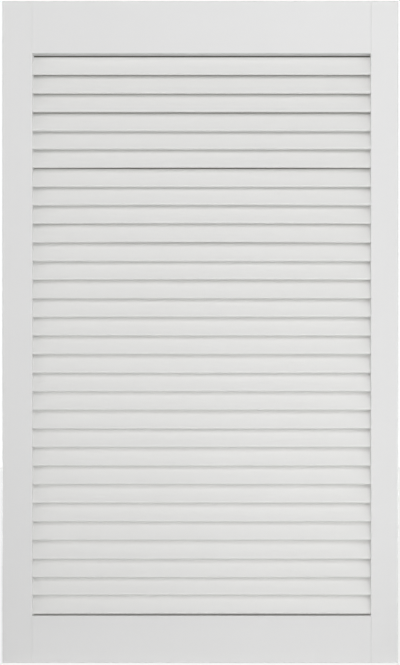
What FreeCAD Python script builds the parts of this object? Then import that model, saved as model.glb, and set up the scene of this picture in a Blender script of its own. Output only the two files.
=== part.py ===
import FreeCAD, Part
import math
import os

# Louvred cupboard door leaf of painted pine: two full-height stiles, a rail between them at the
# top and at the bottom, and a row of fixed slats housed in the stiles' inner edges.
# Millimetres. +X runs across the leaf from the hinge edge, +Y from front to back, +Z up.
# The origin is the middle of the hinge edge, which is the flat outer edge of the left stile.

# Leaf
LEAF_WIDTH = 594.0
LEAF_HEIGHT = 993.0
LEAF_THICKNESS = 21.0

# Frame
LEFT_STILE_WIDTH = 45.0
RIGHT_STILE_WIDTH = 41.0
TOP_RAIL_HEIGHT = 78.5
BOTTOM_RAIL_HEIGHT = 71.0
OUTER_ARRIS = 2.0  # radius on the outer edges of the leaf's faces
INNER_ARRIS = 1.0  # radius on the edges of the frame that meet the slats

# Slats: slightly bowed edges, a little behind the faces of the frame
SLAT_THICKNESS = 5.0
SLAT_EDGE_BOW = 0.8  # how far a slat's rounded edge stands beyond its flat faces
SLAT_TILT_DEGREES = 25.0  # from upright, front edge low
SLAT_SET_BACK = 1.6  # from the leaf's faces to the corners of a slat
SLAT_AIR_GAP = 6.8  # wanted between neighbouring slats, measured square to them
SILL_GAP = 0.2  # under the lowest slat, before its lift
HEAD_GAP = 2.6  # over the highest slat
LOWEST_LIFT = 1.7  # of the lowest slat above its evenly spaced place
NEXT_LIFT = 1.2  # of the slat over it

# Housings: the slanting slots that the slats' ends are glued into
HOUSING_DEPTH = 8.0
HOUSING_CLEARANCE = 0.15  # round the slat
HOUSING_END_GAP = 0.3  # beyond the slat's end
CUTTER_OVERRUN = 5.0  # how far a cutting shape starts outside the wood

FRONT = -LEAF_THICKNESS / 2
BACK = LEAF_THICKNESS / 2
BOTTOM = -LEAF_HEIGHT / 2
TOP = LEAF_HEIGHT / 2

OPENING_LEFT = LEFT_STILE_WIDTH
OPENING_RIGHT = LEAF_WIDTH - RIGHT_STILE_WIDTH
OPENING_BOTTOM = BOTTOM + BOTTOM_RAIL_HEIGHT
OPENING_TOP = TOP - TOP_RAIL_HEIGHT

ACROSS = FreeCAD.Vector(1, 0, 0)
UPWARD = FreeCAD.Vector(0, 0, 1)
TILT = math.radians(SLAT_TILT_DEGREES)
UP_THE_SLAT = FreeCAD.Vector(0, math.sin(TILT), math.cos(TILT))
OFF_THE_SLAT = FreeCAD.Vector(0, -math.cos(TILT), math.sin(TILT))

# A slat's flat faces reach from just behind the leaf's front to just before its back, whatever its tilt,
# and an arc of this radius closes each of its edges.
SLAT_HALF_THICKNESS = SLAT_THICKNESS / 2
SLAT_HALF_DEPTH = BACK - SLAT_SET_BACK
SLAT_HALF_FLAT = (SLAT_HALF_DEPTH - SLAT_HALF_THICKNESS * math.cos(TILT)) / math.sin(TILT)
SLAT_EDGE_RADIUS = (SLAT_EDGE_BOW ** 2 + SLAT_HALF_THICKNESS ** 2) / (2 * SLAT_EDGE_BOW)
SLAT_ARC_CENTRE = SLAT_HALF_FLAT + SLAT_EDGE_BOW - SLAT_EDGE_RADIUS
SLAT_RISE = 2 * (SLAT_ARC_CENTRE * math.cos(TILT) + SLAT_EDGE_RADIUS)

# As many slats as fill the opening at about the wanted air gap, evenly spaced but for the two lowest.
SLAT_RUN = OPENING_TOP - HEAD_GAP - OPENING_BOTTOM - SILL_GAP - SLAT_RISE
SLAT_STEPS = round(SLAT_RUN * math.sin(TILT) / (SLAT_THICKNESS + SLAT_AIR_GAP))
SLAT_PITCH = SLAT_RUN / SLAT_STEPS
SLAT_COUNT = SLAT_STEPS + 1
SLAT_LIFTS = {SLAT_COUNT: LOWEST_LIFT, SLAT_COUNT - 1: NEXT_LIFT}


def slat_centre(number):
    """Middle of a slat's section. Slat 1 is the highest."""
    height = OPENING_TOP - HEAD_GAP - SLAT_RISE / 2 - (number - 1) * SLAT_PITCH
    return FreeCAD.Vector(0, 0, height + SLAT_LIFTS.get(number, 0))


def slat_bar(number, left, right, clearance):
    """A bar along X with a slat's section: two flat faces between bowed edges."""
    upper = slat_centre(number) + UP_THE_SLAT * SLAT_HALF_FLAT
    lower = slat_centre(number) - UP_THE_SLAT * SLAT_HALF_FLAT
    side = OFF_THE_SLAT * (SLAT_HALF_THICKNESS + clearance)
    bow = UP_THE_SLAT * (SLAT_EDGE_BOW + clearance)
    section = Part.Wire([
        Part.LineSegment(lower + side, upper + side).toShape(),
        Part.Arc(upper + side, upper + bow, upper - side).toShape(),
        Part.LineSegment(upper - side, lower - side).toShape(),
        Part.Arc(lower - side, lower - bow, lower + side).toShape(),
    ])
    section.translate(FreeCAD.Vector(left, 0, 0))
    return Part.Face(section).extrude(FreeCAD.Vector(right - left, 0, 0))


def board(left, right, bottom, top):
    """A square-edged board of the leaf's thickness."""
    corner = FreeCAD.Vector(left, FRONT, bottom)
    return Part.makeBox(right - left, LEAF_THICKNESS, top - bottom, corner)


def edges_along(shape, axis, tolerance=0.01):
    """A board's straight edges that run along an axis, within an angle in radians."""
    return [edge for edge in shape.Edges if edge.tangentAt(edge.FirstParameter).isParallel(axis, tolerance)]


def edges_at(shape, axis, side_axis, distance, tolerance=0.01):
    """A board's straight edges along an axis, on the side that lies at a distance along another axis."""
    return [
        edge for edge in edges_along(shape, axis)
        if abs(edge.CenterOfMass.dot(side_axis) - distance) < tolerance
    ]


def stile(inner, outer, slot_start, slot_end):
    """A full-height upright, its faces rounded off all round, with housings in its inner edge."""
    plain = board(min(inner, outer), max(inner, outer), BOTTOM, TOP)
    outer_edges = edges_along(plain, ACROSS) + edges_at(plain, UPWARD, ACROSS, outer)
    rounded = plain.makeFillet(OUTER_ARRIS, outer_edges)
    eased = rounded.makeFillet(INNER_ARRIS, edges_at(rounded, UPWARD, ACROSS, inner))
    slots = [
        slat_bar(number, slot_start, slot_end, HOUSING_CLEARANCE)
        for number in range(1, SLAT_COUNT + 1)
    ]
    return eased.cut(slots)


def left_stile():
    return stile(OPENING_LEFT, 0, OPENING_LEFT - HOUSING_DEPTH, OPENING_LEFT + CUTTER_OVERRUN)


def right_stile():
    return stile(OPENING_RIGHT, LEAF_WIDTH, OPENING_RIGHT - CUTTER_OVERRUN, OPENING_RIGHT + HOUSING_DEPTH)


def rail(inner, outer):
    """A cross piece whose square ends butt against the stiles, with its long edges rounded."""
    plain = board(OPENING_LEFT, OPENING_RIGHT, min(inner, outer), max(inner, outer))
    rounded = plain.makeFillet(OUTER_ARRIS, edges_at(plain, ACROSS, UPWARD, outer))
    return rounded.makeFillet(INNER_ARRIS, edges_at(rounded, ACROSS, UPWARD, inner))


def slat(number):
    """A fixed slat whose ends sit in the stiles' housings."""
    grip = HOUSING_DEPTH - HOUSING_END_GAP
    return slat_bar(number, OPENING_LEFT - grip, OPENING_RIGHT + grip, 0)


pieces = {
    "left_stile": left_stile(),
    "right_stile": right_stile(),
    "top_rail": rail(OPENING_TOP, TOP),
    "bottom_rail": rail(OPENING_BOTTOM, BOTTOM),
}
for slat_number in range(1, SLAT_COUNT + 1):
    pieces[f"slat_{slat_number:02d}"] = slat(slat_number)

os.makedirs("parts", exist_ok=True)
for name, shape in pieces.items():
    shape.exportStep(f"parts/{name}.step")
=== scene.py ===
import math
import random

import bpy
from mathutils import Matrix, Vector


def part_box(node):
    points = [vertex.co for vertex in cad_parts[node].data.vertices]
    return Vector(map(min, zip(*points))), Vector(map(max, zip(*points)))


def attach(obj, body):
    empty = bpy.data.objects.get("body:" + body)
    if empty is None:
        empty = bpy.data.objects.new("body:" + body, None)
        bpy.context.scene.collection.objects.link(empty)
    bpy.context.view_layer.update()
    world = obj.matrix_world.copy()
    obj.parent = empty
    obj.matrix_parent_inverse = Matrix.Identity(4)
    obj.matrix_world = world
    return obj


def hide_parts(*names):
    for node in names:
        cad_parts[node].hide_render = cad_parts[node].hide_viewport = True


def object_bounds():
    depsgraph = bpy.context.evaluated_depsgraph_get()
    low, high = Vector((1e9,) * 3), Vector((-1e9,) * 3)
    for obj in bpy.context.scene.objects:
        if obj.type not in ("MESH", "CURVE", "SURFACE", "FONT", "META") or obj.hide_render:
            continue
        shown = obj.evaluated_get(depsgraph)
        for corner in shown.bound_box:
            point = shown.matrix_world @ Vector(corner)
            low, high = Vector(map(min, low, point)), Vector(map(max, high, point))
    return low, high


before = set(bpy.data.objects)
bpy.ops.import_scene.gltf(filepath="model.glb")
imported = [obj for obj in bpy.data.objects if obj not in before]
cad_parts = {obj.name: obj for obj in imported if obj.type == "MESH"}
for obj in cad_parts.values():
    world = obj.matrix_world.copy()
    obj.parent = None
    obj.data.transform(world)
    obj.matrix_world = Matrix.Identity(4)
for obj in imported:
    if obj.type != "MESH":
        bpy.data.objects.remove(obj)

cad_low, cad_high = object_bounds()

# Stiles
# The two full-height uprights, planed pine with rounded edges and slanting housings routed in their
# inner edges. They are sprayed with satin white paint, under which the upright grain just shows.


class Strand:
    """One output in a node tree. Sums and products of strands and numbers add Math nodes to the tree."""

    def __init__(self, tree, socket=None):
        self.tree = tree
        self.socket = socket

    def node(self, kind, settings, sockets, output=0):
        """Adds a node: its settings first, then the values or links of its sockets."""
        made = self.tree.nodes.new(kind)
        for name, value in settings.items():
            setattr(made, name, value)
        for name, value in sockets.items():
            if isinstance(value, Strand):
                self.tree.links.new(value.socket, made.inputs[name])
            else:
                made.inputs[name].default_value = value
        return Strand(self.tree, made.outputs[output])

    def maths(self, operation, first, second):
        return self.node("ShaderNodeMath", {"operation": operation}, {0: first, 1: second})

    def __add__(self, other):
        return self.maths("ADD", self, other)

    def __sub__(self, other):
        return self.maths("SUBTRACT", self, other)

    def __rsub__(self, other):
        return self.maths("SUBTRACT", other, self)

    def __mul__(self, other):
        return self.maths("MULTIPLY", self, other)

    __radd__ = __add__
    __rmul__ = __mul__


FRAME_WHITE = (0.826, 0.826, 0.826, 1)
FRAME_WORN = (0.806, 0.805, 0.802, 1)
ACROSS_GRAIN = 700.0  # pores in a metre across the grain
ALONG_GRAIN = 9.0  # and along it
PORE_SCALE = 1.0
PORE_DETAIL = 3.0
RING_SCALE = 0.16  # yearly rings are about six times as coarse as pores
RING_DETAIL = 2.0
SPRAY_SCALE = 850.0  # specks of sprayed paint in a metre
SPRAY_DETAIL = 1.0
CLOUD_SCALE = 7.0  # wide patches of worn paint in a metre
CLOUD_DETAIL = 2.0
NOISE_MIDDLE = 0.5
PORE_RELIEF = 0.45
RING_RELIEF = 0.35
SPRAY_RELIEF = 0.2
RELIEF_HEIGHT = 0.0002
RELIEF_STRENGTH = 0.18
CLOUD_WEAR = 0.6
RING_WEAR = 0.4
PAINT_ROUGHNESS = 0.40
CLOUD_ROUGHNESS = 0.12
PORE_ROUGHNESS = 0.10
GRAIN_ACROSS_LEAF = 0  # the X axis
GRAIN_UPRIGHT = 2  # the Z axis


def painted_pine(name, grain_axis, white, worn):
    """Satin white paint on planed pine whose grain runs along an axis."""
    paint = bpy.data.materials.new(name)
    paint.use_nodes = True
    tree = paint.node_tree
    shader = tree.nodes["Principled BSDF"]
    start = Strand(tree)
    place = start.node("ShaderNodeTexCoord", {}, {}, "Object")
    stretch = [ACROSS_GRAIN] * 3
    stretch[grain_axis] = ALONG_GRAIN
    along = start.node("ShaderNodeMapping", {}, {"Vector": place, "Scale": stretch})

    def noise(where, scale, detail):
        sockets = {"Vector": where, "Scale": scale, "Detail": detail}
        return start.node("ShaderNodeTexNoise", {}, sockets, "Fac")

    pores = noise(along, PORE_SCALE, PORE_DETAIL)
    rings = noise(along, RING_SCALE, RING_DETAIL)
    spray = noise(place, SPRAY_SCALE, SPRAY_DETAIL)
    cloud = noise(place, CLOUD_SCALE, CLOUD_DETAIL)
    relief = pores * PORE_RELIEF + rings * RING_RELIEF + spray * SPRAY_RELIEF
    wear = cloud * CLOUD_WEAR + rings * RING_WEAR
    colour = start.node(
        "ShaderNodeMix", {"data_type": "RGBA"},
        {"Factor": wear, "A": white, "B": worn}, "Result")
    bump = start.node(
        "ShaderNodeBump", {},
        {"Strength": RELIEF_STRENGTH, "Distance": RELIEF_HEIGHT, "Height": relief})
    patchy = (cloud - NOISE_MIDDLE) * CLOUD_ROUGHNESS
    porous = (pores - NOISE_MIDDLE) * PORE_ROUGHNESS
    roughness = PAINT_ROUGHNESS + patchy + porous
    tree.links.new(colour.socket, shader.inputs["Base Color"])
    tree.links.new(roughness.socket, shader.inputs["Roughness"])
    tree.links.new(bump.socket, shader.inputs["Normal"])
    return paint


def dress(node_name, paint):
    """Gives a CAD node its finish."""
    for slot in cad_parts[node_name].material_slots:
        slot.material = paint


stile_paint = painted_pine("stile_paint", GRAIN_UPRIGHT, FRAME_WHITE, FRAME_WORN)
dress("left_stile", stile_paint)
dress("right_stile", stile_paint)

# Rails
# The wide top and bottom boards, which butt between the stiles. They are planed pine painted with the
# stiles, and their grain runs across the leaf.

rail_paint = painted_pine("rail_paint", GRAIN_ACROSS_LEAF, FRAME_WHITE, FRAME_WORN)
dress("top_rail", rail_paint)
dress("bottom_rail", rail_paint)

# Slats
# Thin planed slats with rounded edges, pushed into the housings before the frame was closed and painted
# in place. Their ends are held, some have dried bowed between them, and some sit a little high or low.

SLAT_THICKNESS = 0.0050
SLAT_WIDTH = 0.0315
SLAT_ROUND = 0.0020
ROUND_SEGMENTS = 6
SMOOTH_ANGLE = math.radians(40)
SLAT_TILT = math.radians(25)
# The slats' white and worn white are lighter copies of the frame's paint: painted light that makes up for
# the light their tilt turns away.
SLAT_WHITE_PAINTED_LIGHTER = (0.850, 0.850, 0.842, 1)
SLAT_WORN_PAINTED_LIGHTER = (0.832, 0.831, 0.817, 1)
BOW_CUTS = 23
SLIGHT_BOW = 0.0002  # at most, on every slat
DRYING_SEED = 7
# How far the middle of a slat has bowed forwards.
SLAT_BOWS = {
    6: 0.0010, 8: 0.0014, 9: 0.0014, 10: 0.0013, 12: 0.0012, 17: -0.0014, 20: -0.0011,
    22: -0.0005, 25: -0.0008, 28: -0.0010, 29: 0.0012, 30: 0.0007,
}
# How far a slat sits above its place in the frame.
SLAT_SHIFTS = {
    1: 0.0007, 2: 0.0006, 3: 0.0006, 5: 0.0006, 6: 0.0007, 9: 0.0004, 27: -0.0005, 30: -0.0007,
}
slat_low, slat_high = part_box("slat_01")
slat_length = slat_high.x - slat_low.x


def pick_edges_along_x(piece):
    """Selects a piece's edges that run along the slat."""
    mesh = piece.data
    bpy.ops.object.mode_set(mode="OBJECT")
    for edge in mesh.edges:
        start, end = (mesh.vertices[corner].co for corner in edge.vertices)
        edge.select = abs(end.x - start.x) > slat_length / 2
    bpy.ops.object.mode_set(mode="EDIT")


bpy.ops.object.select_all(action="DESELECT")
bpy.ops.mesh.primitive_cube_add(size=1.0, scale=(slat_length, SLAT_THICKNESS, SLAT_WIDTH))
plain_slat = bpy.context.object
bpy.ops.object.mode_set(mode="EDIT")
bpy.ops.mesh.select_mode(type="EDGE")
bpy.ops.mesh.select_all(action="DESELECT")
pick_edges_along_x(plain_slat)
bpy.ops.mesh.bevel(offset=SLAT_ROUND, segments=ROUND_SEGMENTS, affect="EDGES")
bpy.ops.mesh.select_all(action="DESELECT")
pick_edges_along_x(plain_slat)
bpy.ops.mesh.subdivide(number_cuts=BOW_CUTS)
bpy.ops.object.mode_set(mode="OBJECT")
bpy.ops.object.shade_smooth_by_angle(angle=SMOOTH_ANGLE)
plain_slat.modifiers.new("even_shading", "WEIGHTED_NORMAL").keep_sharp = True
bpy.ops.object.modifier_apply(modifier="even_shading")

# Slat paint, painted lighter than the same paint on the frame to make up for the light the tilted slats
# miss.
slat_paint = painted_pine("slat_paint", GRAIN_ACROSS_LEAF, SLAT_WHITE_PAINTED_LIGHTER, SLAT_WORN_PAINTED_LIGHTER)
plain_slat.data.materials.append(slat_paint)
off_the_slat = Vector((0, -math.cos(SLAT_TILT), math.sin(SLAT_TILT)))
drying = random.Random(DRYING_SEED)
slat_names = sorted(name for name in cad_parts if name.startswith("slat_"))
for number, slat_name in enumerate(slat_names, start=1):
    bow = SLAT_BOWS.get(number, 0) + drying.uniform(-SLIGHT_BOW, SLIGHT_BOW)
    bpy.ops.object.select_all(action="DESELECT")
    plain_slat.select_set(True)
    bpy.context.view_layer.objects.active = plain_slat
    bpy.ops.object.duplicate(linked=False)
    slat = bpy.context.object
    slat.name = f"painted_{slat_name}"
    bend = slat.modifiers.new("bow", "SIMPLE_DEFORM")
    bend.deform_method = "BEND"
    bend.deform_axis = "Z"
    bend.angle = 8 * bow / slat_length  # a flat arc rises by an eighth of its length times its angle
    bpy.ops.object.modifier_apply(modifier="bow")
    low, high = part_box(slat_name)
    shift = Vector((0, 0, SLAT_SHIFTS.get(number, 0)))
    slat.rotation_euler = (-SLAT_TILT, 0, 0)
    slat.location = (low + high) / 2 + off_the_slat * bow + shift
    bpy.ops.object.transform_apply(location=True, rotation=True, scale=True)
    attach(slat, "root")
    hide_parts(slat_name)
bpy.data.objects.remove(plain_slat)

# Floor
# A plain pale floor under the leaf's lower edge, matt and round. It looks nearly white and still takes
# the leaf's soft shadow.

FLOOR_RADIUS = 7.0
FLOOR_SIDES = 128
FLOOR_PAINT = (0.92, 0.92, 0.91, 1)
FLOOR_ROUGHNESS = 0.9
FLOOR_WHITENESS = 0.85
PURE_WHITE = (1, 1, 1, 1)


def plain_to_the_eye(start):
    """1 for rays that show a surface to the camera, straight, by gloss or through, and 0 for other light."""
    straight = start.node("ShaderNodeLightPath", {}, {}, "Is Camera Ray")
    mirrored = start.node("ShaderNodeLightPath", {}, {}, "Is Glossy Ray")
    through = start.node("ShaderNodeLightPath", {}, {}, "Is Transmission Ray")
    return straight.maths("MAXIMUM", straight, straight.maths("MAXIMUM", mirrored, through))


bpy.ops.object.select_all(action="DESELECT")
bpy.ops.mesh.primitive_circle_add(
    vertices=FLOOR_SIDES, radius=FLOOR_RADIUS, fill_type="NGON", location=(cad_high.x / 2, 0, cad_low.z))
floor = bpy.context.object
floor.name = "floor"
floor_finish = bpy.data.materials.new("floor_finish")
floor_finish.use_nodes = True
floor_tree = floor_finish.node_tree
floor_shader = floor_tree.nodes["Principled BSDF"]
floor_shader.inputs["Base Color"].default_value = FLOOR_PAINT
floor_shader.inputs["Roughness"].default_value = FLOOR_ROUGHNESS
floor_start = Strand(floor_tree)
matt = Strand(floor_tree, floor_shader.outputs["BSDF"])
white = floor_start.node("ShaderNodeEmission", {}, {"Color": PURE_WHITE, "Strength": 1.0})
whitened = plain_to_the_eye(floor_start) * FLOOR_WHITENESS
pale = floor_start.node("ShaderNodeMixShader", {}, {0: whitened, 1: matt, 2: white})
floor_tree.links.new(pale.socket, floor_tree.nodes["Material Output"].inputs["Surface"])
floor.data.materials.append(floor_finish)

# Shade behind the leaf
# Painted shade: the dark seen between the slats from in front, painted as a thin dark grey sheet that glows
# faintly just behind the leaf. It doesn't show from behind, and the light of the lamps there passes through
# it.

SHADE_GAP = 0.002
SHADE_INSET = 0.012
SHADE_GREY = (0.055, 0.052, 0.040, 1)
bpy.ops.object.select_all(action="DESELECT")
bpy.ops.mesh.primitive_plane_add(size=1.0, rotation=(math.pi / 2, 0, 0))
shade = bpy.context.object
shade.name = "shade"
shade.scale = (cad_high.x - 2 * SHADE_INSET, cad_high.z - cad_low.z - 2 * SHADE_INSET, 1)
shade.location = (cad_high.x / 2, cad_high.y + SHADE_GAP, 0)
shade_finish = bpy.data.materials.new("shade_finish")
shade_finish.use_nodes = True
shade_tree = shade_finish.node_tree
shade_tree.nodes.remove(shade_tree.nodes["Principled BSDF"])
shade_start = Strand(shade_tree)
shadow = shade_start.node("ShaderNodeLightPath", {}, {}, "Is Shadow Ray")
behind = shade_start.node("ShaderNodeNewGeometry", {}, {}, "Backfacing")
dark = shade_start.node("ShaderNodeEmission", {}, {"Color": SHADE_GREY, "Strength": 1.0})
clear = shade_start.node("ShaderNodeBsdfTransparent", {}, {})
mixed = shade_start.node("ShaderNodeMixShader", {}, {0: (1 - shadow) * (1 - behind), 1: clear, 2: dark})
shade_tree.links.new(mixed.socket, shade_tree.nodes["Material Output"].inputs["Surface"])
shade.data.materials.append(shade_finish)

# Light
# A pale band of daylight round the front and sides of the room with a little light from above, a soft
# lamp high on the right, a low strip in front, and a low soft lamp behind on each side.


def soft_lamp(name, place, target, width, height, watts, spread):
    """A rectangular lamp turned to a target. Its light keeps within the angle of its spread."""
    data = bpy.data.lights.new(name, "AREA")
    data.shape = "RECTANGLE"
    data.size = width
    data.size_y = height
    data.energy = watts
    data.spread = spread
    lamp = bpy.data.objects.new(name, data)
    lamp.location = place
    lamp.rotation_euler = (Vector(target) - Vector(place)).to_track_quat("-Z", "Y").to_euler()
    bpy.context.collection.objects.link(lamp)


KEY_PLACE = (1.0, -2.05, 1.25)
KEY_SIZE = 1.2
KEY_WATTS = 11.0
KEY_SPREAD = math.radians(180)
LOW_PLACE = (0.9, -1.0, -0.42)
LOW_WIDTH = 1.6
LOW_HEIGHT = 0.15
LOW_WATTS = 1.25
LOW_SPREAD = math.radians(110)
REAR_ASIDE = 1.8
REAR_BACK = 1.8
REAR_LEVEL = -0.36
REAR_WIDTH = 1.0
REAR_HEIGHT = 0.2
REAR_WATTS = 2.4
REAR_SPREAD = math.radians(60)
middle = (cad_high.x / 2, 0, 0)
soft_lamp("key", KEY_PLACE, middle, KEY_SIZE, KEY_SIZE, KEY_WATTS, KEY_SPREAD)
soft_lamp("low", LOW_PLACE, middle, LOW_WIDTH, LOW_HEIGHT, LOW_WATTS, LOW_SPREAD)
for side in (-1, 1):
    rear_place = (cad_high.x / 2 + side * REAR_ASIDE, REAR_BACK, REAR_LEVEL)
    soft_lamp("rear", rear_place, middle, REAR_WIDTH, REAR_HEIGHT, REAR_WATTS, REAR_SPREAD)

BAND_LEVEL = 0.745  # brightness of the band straight in front
BAND_NARROWNESS = 4.0  # how fast it fades above and below
SIDE_LEVEL = 0.3  # share of it that is left straight to the sides
FRONT_TURN = 1.6  # how fast that share grows to the front
SIDE_BOOST = 4.2  # how much brighter the room is off to the sides
SIDE_LEAN = 0.12  # and how far that leans to the left
TOP_LEVEL = 0.1  # strength of the light from above
DIM_LEVEL = 0.06  # brightness that is everywhere
room = bpy.data.worlds.new("room")
bpy.context.scene.world = room
room.use_nodes = True
room_tree = room.node_tree
room_start = Strand(room_tree)
heading = room_start.node("ShaderNodeTexCoord", {}, {}, "Generated")
backward = room_start.node("ShaderNodeSeparateXYZ", {}, {"Vector": heading}, "Y")
upward = room_start.node("ShaderNodeSeparateXYZ", {}, {"Vector": heading}, "Z")
sideways = room_start.node("ShaderNodeSeparateXYZ", {}, {"Vector": heading}, "X")
from_front = room_start.node("ShaderNodeClamp", {}, {"Value": SIDE_LEVEL - backward * FRONT_TURN})
near_level = room_start.node("ShaderNodeClamp", {}, {"Value": 1 - upward * upward * BAND_NARROWNESS})
from_sides = 1 + sideways * (sideways - SIDE_LEAN) * SIDE_BOOST
from_above = room_start.node("ShaderNodeClamp", {}, {"Value": upward})
band = near_level * from_sides * BAND_LEVEL
overhead = from_above * from_above * TOP_LEVEL
room_light = DIM_LEVEL + from_front * (band + overhead)
to_the_eye = plain_to_the_eye(room_start)
level = room_light * (1 - to_the_eye) + to_the_eye
room_tree.links.new(level.socket, room_tree.nodes["Background"].inputs["Strength"])
room_tree.nodes["Background"].inputs["Color"].default_value = PURE_WHITE

# Camera
# It stands in front of the leaf, a little to the right and below the middle, and looks straight ahead.
# A shift brings the leaf, which fills the picture, back to its middle.

SENSOR = 36.0  # millimetres, along the picture's height
VIEW_HEIGHT = 0.9972
DISTANCE = 2.4
ASIDE = 0.10
BELOW = 0.10
AIM_X = 0.2967
AIM_Z = -0.00065
camera_data = bpy.data.cameras.new("camera")
camera_data.sensor_width = SENSOR
camera_data.lens = SENSOR * DISTANCE / VIEW_HEIGHT
camera_data.shift_x = -ASIDE / VIEW_HEIGHT
camera_data.shift_y = BELOW / VIEW_HEIGHT
camera = bpy.data.objects.new("camera", camera_data)
camera.location = (AIM_X + ASIDE, cad_low.y - DISTANCE, AIM_Z - BELOW)
camera.rotation_euler = (math.pi / 2, 0, 0)
bpy.context.collection.objects.link(camera)
bpy.context.scene.camera = camera
bpy.context.scene.view_settings.view_transform = "Standard"
